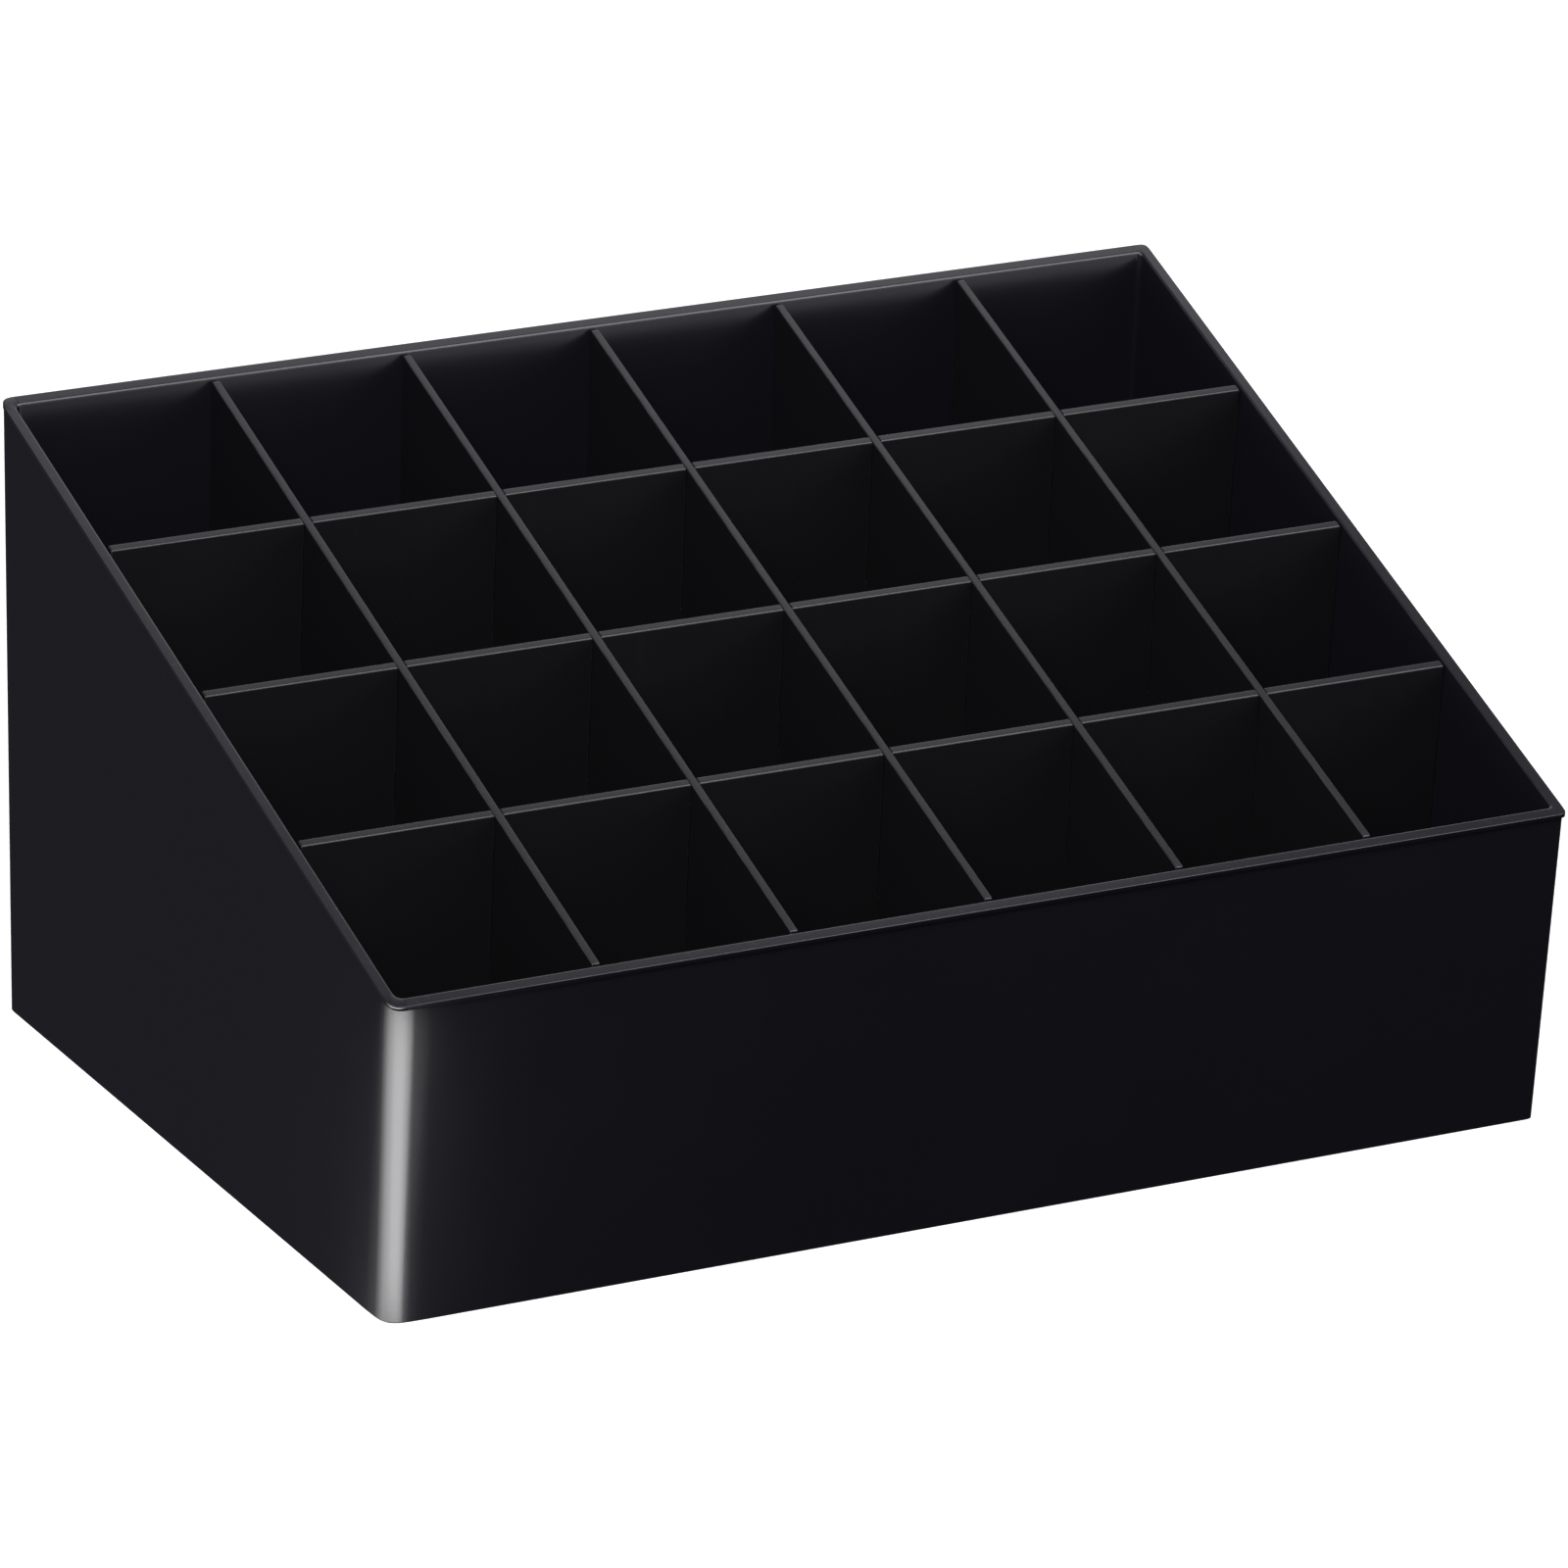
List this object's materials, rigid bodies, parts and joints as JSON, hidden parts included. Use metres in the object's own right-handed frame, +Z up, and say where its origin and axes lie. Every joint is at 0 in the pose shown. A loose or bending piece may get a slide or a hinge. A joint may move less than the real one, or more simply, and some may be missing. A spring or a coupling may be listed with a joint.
{
  "type": "paint rack organizer",
  "caption": "Sloped open-top plastic organizer, low at the front, with a stepped floor and a lift-out grid of square slots for paint bottles.",
  "frame": {"origin": "on the table, under the middle of the rim's outline (bottom centre of the bounding box)", "axes": "+X to the right along the long side, +Y to the high back, +Z up"},
  "size_m": [0.185, 0.123, 0.0915],
  "materials": {
    "casing_plastic": "black, satin gloss, moulded",
    "floor_plastic": "black, satin, moulded",
    "divider_plastic": "black, satin gloss, sheet edges slightly lighter"
  },
  "bodies": {
    "casing": {"outer_casing": "casing_plastic", "tier_floor": "floor_plastic"},
    "divider_grid": {"row_divider_1": "divider_plastic", "row_divider_2": "divider_plastic", "row_divider_3": "divider_plastic", "column_divider_1": "divider_plastic", "column_divider_2": "divider_plastic", "column_divider_3": "divider_plastic", "column_divider_4": "divider_plastic", "column_divider_5": "divider_plastic"}
  },
  "joints": [
    {"name": "divider_grid_lift", "type": "slide", "parent": "casing", "child": "divider_grid", "axis": [0, 0, 1], "range_m": [0, 0.1]}
  ]
}
